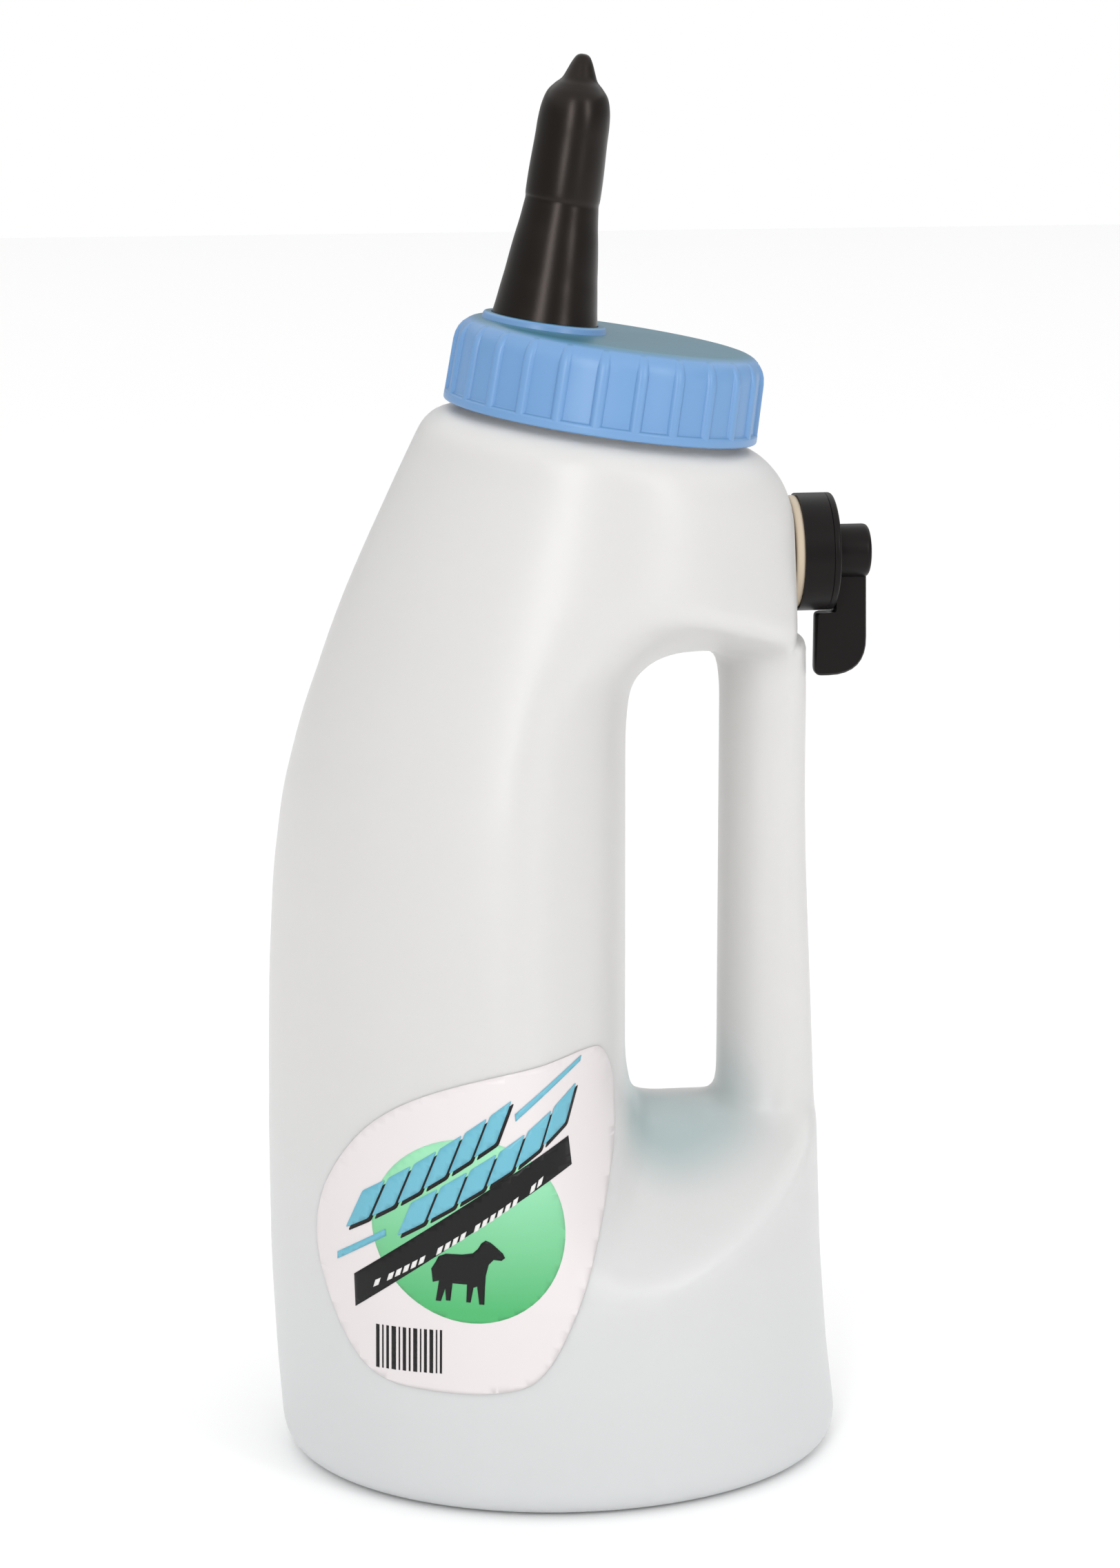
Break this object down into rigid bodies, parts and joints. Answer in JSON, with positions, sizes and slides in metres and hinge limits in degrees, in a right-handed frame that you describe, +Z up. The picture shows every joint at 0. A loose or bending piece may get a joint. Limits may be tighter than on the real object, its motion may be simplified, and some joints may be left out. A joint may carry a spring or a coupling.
{
  "type": "calf feeding bottle",
  "caption": "Blow-moulded calf feeding bottle with a moulded-in handle, a leaning ribbed screw cap with a long rubber teat, and a rotary air valve with a thumb lever.",
  "frame": {"origin": "middle of the outer box, on the surface the bottle stands on", "axes": "+Z up, +X towards the handle and air valve, Y across the bottle, which is symmetric about Y = 0"},
  "size_m": [0.1809, 0.157, 0.4197],
  "materials": {
    "milk_white_plastic": "translucent blow-moulded polyethylene, satin",
    "blue_plastic": "moulded light blue, satin",
    "black_plastic": "moulded black, satin",
    "teat_rubber": "black natural rubber, smooth",
    "seal_rubber": "black, matt",
    "cream_rubber": "cream, matt",
    "nylon": "natural nylon",
    "spring_steel": "bright stainless",
    "label_film": "printed vinyl sticker"
  },
  "bodies": {
    "bottle": {"bottle_foot": "milk_white_plastic", "bottle_belly": "milk_white_plastic", "bottle_handle": "milk_white_plastic", "bottle_shoulder": "milk_white_plastic", "bottle_neck": "milk_white_plastic", "front_label": "label_film", "valve_body": "black_plastic", "valve_cover": "black_plastic", "valve_outer_washer": "cream_rubber", "valve_inner_washer": "cream_rubber", "valve_back_nut": "black_plastic", "duckbill_check_valve": "seal_rubber", "port_seal": "seal_rubber", "spindle_seal": "seal_rubber"},
    "seal": {"cap_seal_ring": "seal_rubber"},
    "cap": {"screw_cap": "blue_plastic", "feeding_teat": "teat_rubber"},
    "lever": {"valve_lever": "black_plastic", "metering_rotor": "nylon", "lever_screw": "spring_steel", "detent_ball": "spring_steel", "detent_spring": "spring_steel", "spring_washer": "spring_steel"}
  },
  "joints": [
    {"name": "cap_lift", "type": "slide", "parent": "bottle", "child": "seal", "axis": [0.1478, 0, 0.989], "range_m": [0, 0.0101]},
    {"name": "cap_turn", "type": "hinge", "parent": "seal", "child": "cap", "pos_m": [0.0098, 0, 0.3135], "axis": [0.1478, 0, 0.989], "range_deg": [0, 720]},
    {"name": "lever_turn", "type": "hinge", "parent": "bottle", "child": "lever", "pos_m": [0.08, 0, 0.273], "axis": [1, 0, 0], "range_deg": [-60, 60]}
  ],
  "couplings": [
    {"joint": "cap_lift", "follows": "cap_turn", "m_per_rad": 0.00079577}
  ]
}
